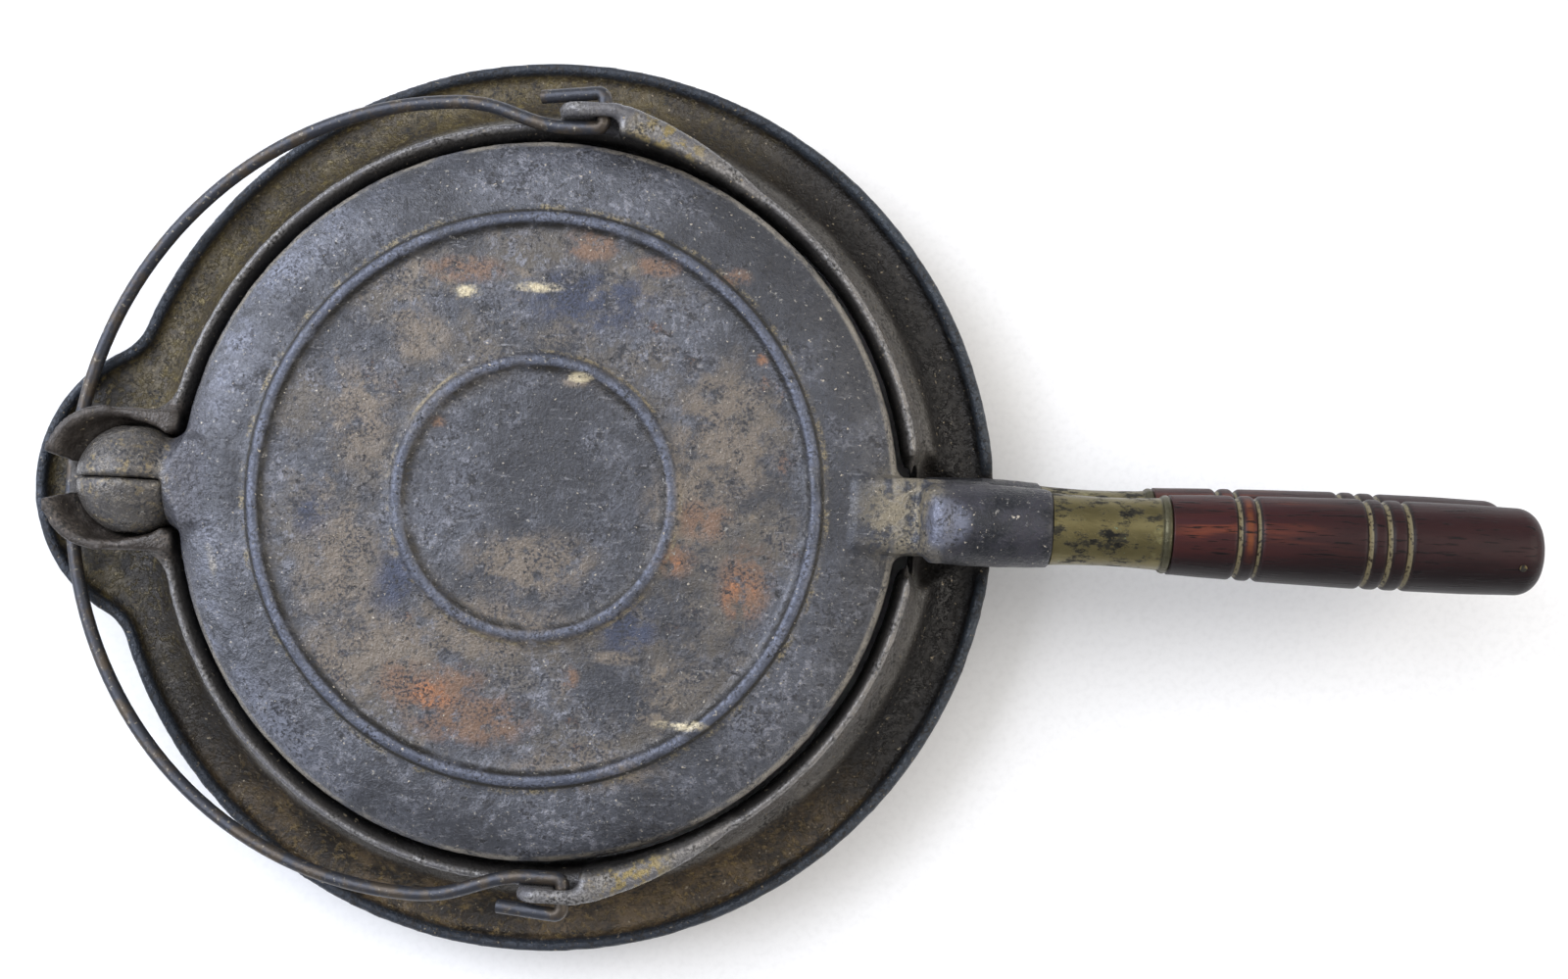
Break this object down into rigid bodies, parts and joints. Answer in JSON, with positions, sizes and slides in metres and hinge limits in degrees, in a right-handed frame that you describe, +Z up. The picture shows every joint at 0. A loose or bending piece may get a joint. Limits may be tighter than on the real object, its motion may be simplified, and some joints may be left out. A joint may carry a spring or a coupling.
{
  "type": "stovetop waffle iron",
  "caption": "Cast-iron stovetop waffle iron: low ring base with drip trough and bail, two round paddles joined by a split ball hinge, wooden grips.",
  "frame": {"origin": "centre of the stove-seat spigot on the floor plane, under the middle of the round paddles", "axes": "+X towards the handles, away from the ball hinge; +Z up; the paddles part in the plane z = 0.048 m"},
  "size_m": [0.4169, 0.2544, 0.0742],
  "materials": {
    "ring_iron": "seasoned, with baked-on brown in the trough",
    "paddle_iron": "seasoned blue-grey with brown patches",
    "bail_wire": "dark oxidised drawn wire",
    "steel": "dull, oxidised",
    "ferrule_brass": "dull, tarnished olive brown",
    "grip_wood": "dark red-brown varnish, worn"
  },
  "bodies": {
    "base": {"base": "ring_iron"},
    "bail": {"bail": "bail_wire"},
    "lower_paddle": {"lower_paddle": "paddle_iron", "lower_ferrule": "ferrule_brass", "lower_grip": "grip_wood", "lower_tang_rod": "steel", "lower_grip_brad": "steel", "hinge_pin": "steel"},
    "upper_paddle": {"upper_paddle": "paddle_iron", "upper_ferrule": "ferrule_brass", "upper_grip": "grip_wood", "upper_tang_rod": "steel", "upper_grip_brad": "steel"}
  },
  "joints": [
    {"name": "paddle_turn", "type": "hinge", "parent": "base", "child": "lower_paddle", "pos_m": [-0.1125, 0, 0.048], "axis": [1, 0, 0], "range_deg": [-12, 12]},
    {"name": "paddle_open", "type": "hinge", "parent": "lower_paddle", "child": "upper_paddle", "pos_m": [-0.1125, 0, 0.048], "axis": [0, -1, 0], "range_deg": [0, 100]},
    {"name": "bail_swing", "type": "hinge", "parent": "base", "child": "bail", "pos_m": [0.0131, 0, 0.0583], "axis": [0, 1, 0], "range_deg": [0, 120]}
  ]
}
